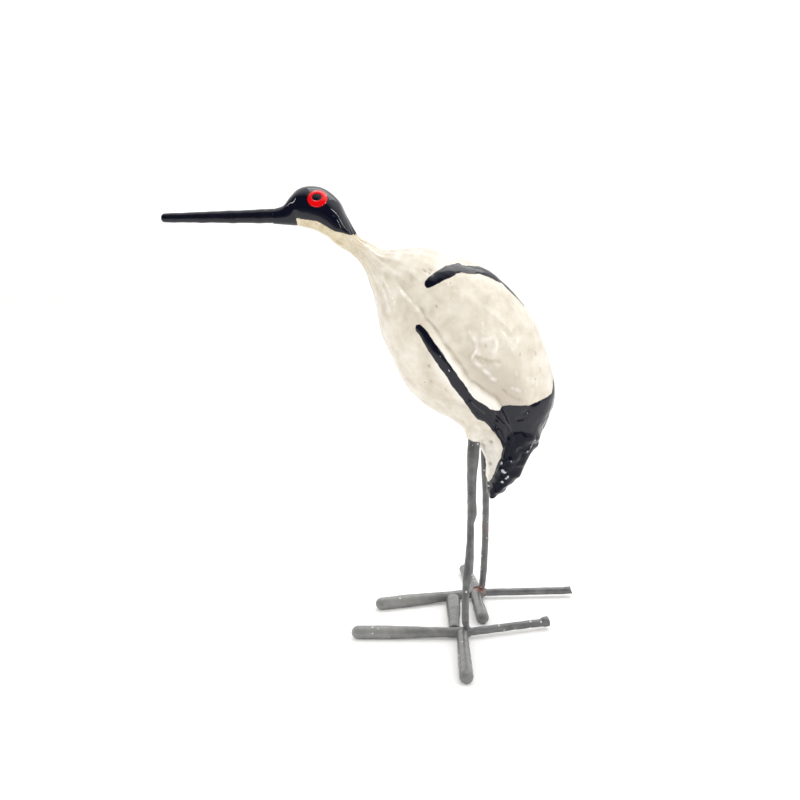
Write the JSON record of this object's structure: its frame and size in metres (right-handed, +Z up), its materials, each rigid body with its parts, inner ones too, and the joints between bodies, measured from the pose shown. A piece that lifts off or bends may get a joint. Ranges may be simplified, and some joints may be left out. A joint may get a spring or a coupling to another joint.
{
  "type": "painted avocet figurine",
  "caption": "Standing avocet figurine with an egg-shaped body, a curved neck, a long thin bill and bent wire legs whose toes are rods welded on at the ankles.",
  "frame": {"origin": "middle of the whole bird's footprint, on the surface it stands on", "axes": "+Z up, -X the way the bill points, -Y the bird's left side"},
  "size_m": [0.183, 0.13, 0.1918],
  "materials": {
    "body_paint": "cream paint with gloss black markings and red eye rings over a hand-modelled body, under a clear lacquer",
    "bill_paint": "gloss black paint over a metal rod",
    "wire_paint": "satin grey paint with drips, over steel wire and rod",
    "weld_paint": "satin grey paint over a lump of weld, with rust showing through"
  },
  "bodies": {
    "root": {"body": "body_paint", "bill": "bill_paint", "left_leg": "wire_paint", "right_leg": "wire_paint", "left_front_toe": "wire_paint", "left_outer_toe": "wire_paint", "left_inner_toe": "wire_paint", "right_front_toe": "wire_paint", "right_outer_toe": "wire_paint", "right_inner_toe": "wire_paint", "left_ankle_weld": "weld_paint", "right_ankle_weld": "weld_paint"}
  },
  "joints": []
}
